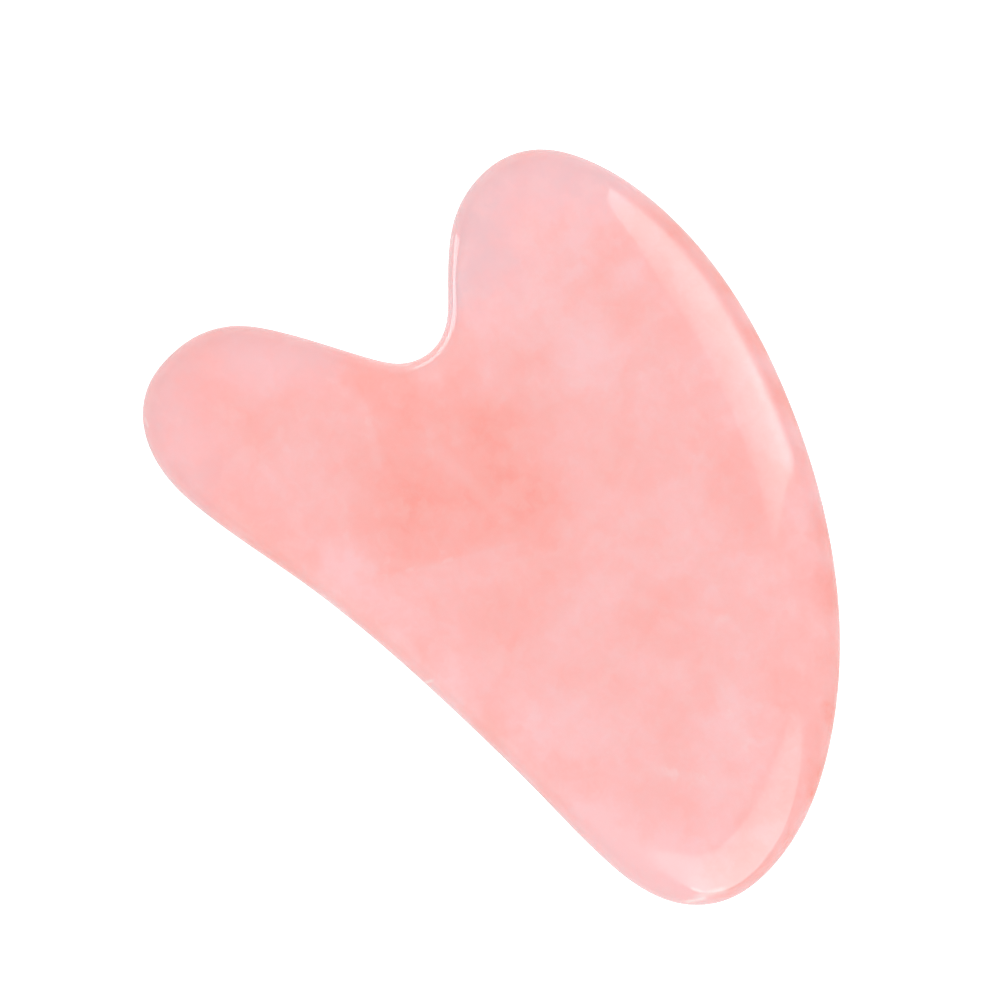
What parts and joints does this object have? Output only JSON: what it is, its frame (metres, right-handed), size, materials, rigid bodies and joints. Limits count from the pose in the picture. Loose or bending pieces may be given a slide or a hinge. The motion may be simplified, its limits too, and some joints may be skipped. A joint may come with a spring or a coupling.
{
  "type": "gua sha scraper",
  "caption": "Flat heart-shaped polished stone massage scraper with two lobes, a notch, a round back, a hollow side and a tail.",
  "frame": {"origin": "middle of the outline's box, on the lower flat face", "axes": "+X along the stone from the two lobes to the tail, +Y from the hollow side to the round back, +Z out of the upper flat face"},
  "size_m": [0.08, 0.0536, 0.007],
  "materials": {
    "rose_quartz": "polished, translucent, with milky clouds and veils"
  },
  "bodies": {
    "root": {"scraper_body": "rose_quartz"}
  },
  "joints": []
}
